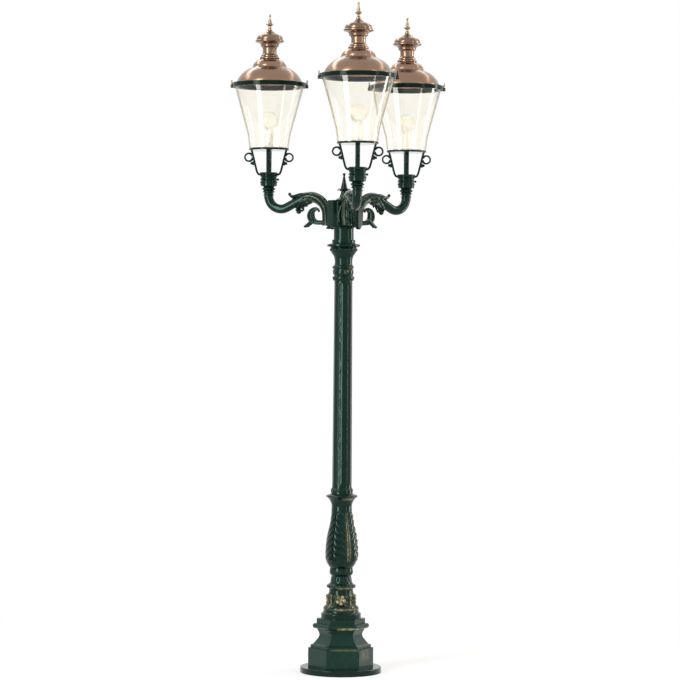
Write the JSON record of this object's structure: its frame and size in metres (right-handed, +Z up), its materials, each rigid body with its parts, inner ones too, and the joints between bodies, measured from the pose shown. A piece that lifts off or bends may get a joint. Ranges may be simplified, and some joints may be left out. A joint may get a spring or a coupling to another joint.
{
  "type": "triple head lamp post",
  "caption": "Ornamental lamp post with arms on a central hub, each carrying a conical glass lantern under a hinged copper hood.",
  "frame": {"origin": "centre of the base plate's underside, on the axis of the post", "axes": "+Z up along the post, -Y along the front arm, +X to the right as seen from the front"},
  "size_m": [1.1986, 1.0755, 3.6],
  "materials": {
    "green_paint": "glossy dark green enamel",
    "copper": "satin copper",
    "brass": "satin brass",
    "steel": "plain steel",
    "white_holder": "white moulded",
    "clear_glass": "clear",
    "bulb_glass": "pale yellow frosted"
  },
  "bodies": {
    "post": {"base_flange": "green_paint", "plinth_screws": "steel", "plinth": "green_paint", "pedestal": "green_paint", "baluster": "green_paint", "shaft_collar": "green_paint", "shaft": "green_paint", "shaft_screws": "steel", "capital": "green_paint", "neck_tube": "green_paint", "arm_hub": "green_paint", "hub_finial": "green_paint", "front_arm": "green_paint", "front_arm_bolts": "green_paint", "front_spigot": "green_paint", "front_collar_screws": "steel", "front_cradle": "green_paint", "front_ear_nuts": "green_paint", "front_lamp_tray": "green_paint", "front_lamp_holder": "white_holder", "front_bulb": "bulb_glass", "front_glass": "clear_glass", "front_top_ring": "green_paint", "front_hood_pins": "steel", "left_arm": "green_paint", "left_arm_bolts": "green_paint", "left_spigot": "green_paint", "left_collar_screws": "steel", "left_cradle": "green_paint", "left_ear_nuts": "green_paint", "left_lamp_tray": "green_paint", "left_lamp_holder": "white_holder", "left_bulb": "bulb_glass", "left_glass": "clear_glass", "left_top_ring": "green_paint", "left_hood_pins": "steel", "right_arm": "green_paint", "right_arm_bolts": "green_paint", "right_spigot": "green_paint", "right_collar_screws": "steel", "right_cradle": "green_paint", "right_ear_nuts": "green_paint", "right_lamp_tray": "green_paint", "right_lamp_holder": "white_holder", "right_bulb": "bulb_glass", "right_glass": "clear_glass", "right_top_ring": "green_paint", "right_hood_pins": "steel"},
    "front_lid": {"front_hood": "copper", "front_chimney": "copper", "front_finial": "brass"},
    "front_catch": {"front_latch": "green_paint"},
    "left_lid": {"left_hood": "copper", "left_chimney": "copper", "left_finial": "brass"},
    "left_catch": {"left_latch": "green_paint"},
    "right_lid": {"right_hood": "copper", "right_chimney": "copper", "right_finial": "brass"},
    "right_catch": {"right_latch": "green_paint"}
  },
  "joints": [
    {"name": "front_hood_hinge", "type": "hinge", "parent": "post", "child": "front_lid", "pos_m": [-0.20637, -0.41195, 3.201], "axis": [-0.1582, -0.9874, 0], "range_deg": [0, 95]},
    {"name": "front_latch_pivot", "type": "hinge", "parent": "post", "child": "front_catch", "pos_m": [0.20637, -0.47806, 3.201], "axis": [0.1582, 0.9874, 0], "range_deg": [0, 90]},
    {"name": "left_hood_hinge", "type": "hinge", "parent": "post", "child": "left_lid", "pos_m": [-0.59175, 0.25555, 3.201], "axis": [-0.1582, -0.9874, 0], "range_deg": [0, 95]},
    {"name": "left_latch_pivot", "type": "hinge", "parent": "post", "child": "left_catch", "pos_m": [-0.17901, 0.18945, 3.201], "axis": [0.1582, 0.9874, 0], "range_deg": [0, 90]},
    {"name": "right_hood_hinge", "type": "hinge", "parent": "post", "child": "right_lid", "pos_m": [0.59175, 0.18945, 3.201], "axis": [0.1582, 0.9874, 0], "range_deg": [0, 95]},
    {"name": "right_latch_pivot", "type": "hinge", "parent": "post", "child": "right_catch", "pos_m": [0.17901, 0.25555, 3.201], "axis": [-0.1582, -0.9874, 0], "range_deg": [0, 90]}
  ]
}
